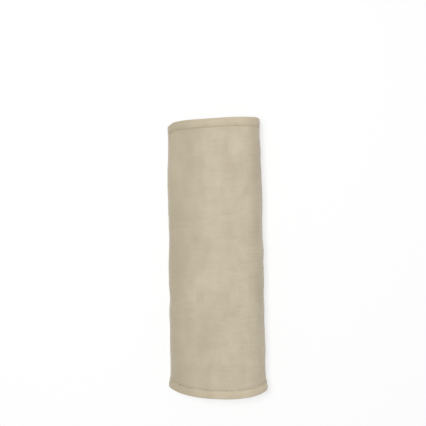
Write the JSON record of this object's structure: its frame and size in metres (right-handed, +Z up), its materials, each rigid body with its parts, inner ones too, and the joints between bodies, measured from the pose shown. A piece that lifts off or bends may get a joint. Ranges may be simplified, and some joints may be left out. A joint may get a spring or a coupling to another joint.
{
  "type": "seat belt shoulder pad",
  "caption": "Padded plush sleeve that wraps round a seat belt at the shoulder, closed along its back by a hook and loop tape.",
  "frame": {"origin": "on the surface that the pad lies on, under the middle of its box", "axes": "+X across the pad, +Y along it towards its top end, +Z up to its front face; it lies on its closure side"},
  "size_m": [0.1018, 0.2798, 0.0287],
  "materials": {
    "plush": "short dense pile, warm sand",
    "hem_band": "the same plush, folded and pressed",
    "lining": "smooth knitted lining",
    "foam": "soft open-cell memory foam",
    "hook_tape": "nylon hook tape",
    "loop_tape": "brushed loop tape",
    "thread": "polyester sewing thread"
  },
  "bodies": {
    "root": {"cover": "plush", "top_hem": "hem_band", "bottom_hem": "hem_band", "over_flap_edge_binding": "hem_band", "under_flap_edge_binding": "hem_band", "lining": "lining", "foam_core": "foam", "under_flap_padding": "foam", "over_flap_padding": "foam", "hook_tape": "hook_tape", "loop_tape": "loop_tape", "top_hem_stitching": "thread", "bottom_hem_stitching": "thread", "over_flap_edge_stitching": "thread", "under_flap_edge_stitching": "thread", "hook_tape_right_stitching": "thread", "hook_tape_left_stitching": "thread", "loop_tape_stitching": "thread"}
  },
  "joints": []
}
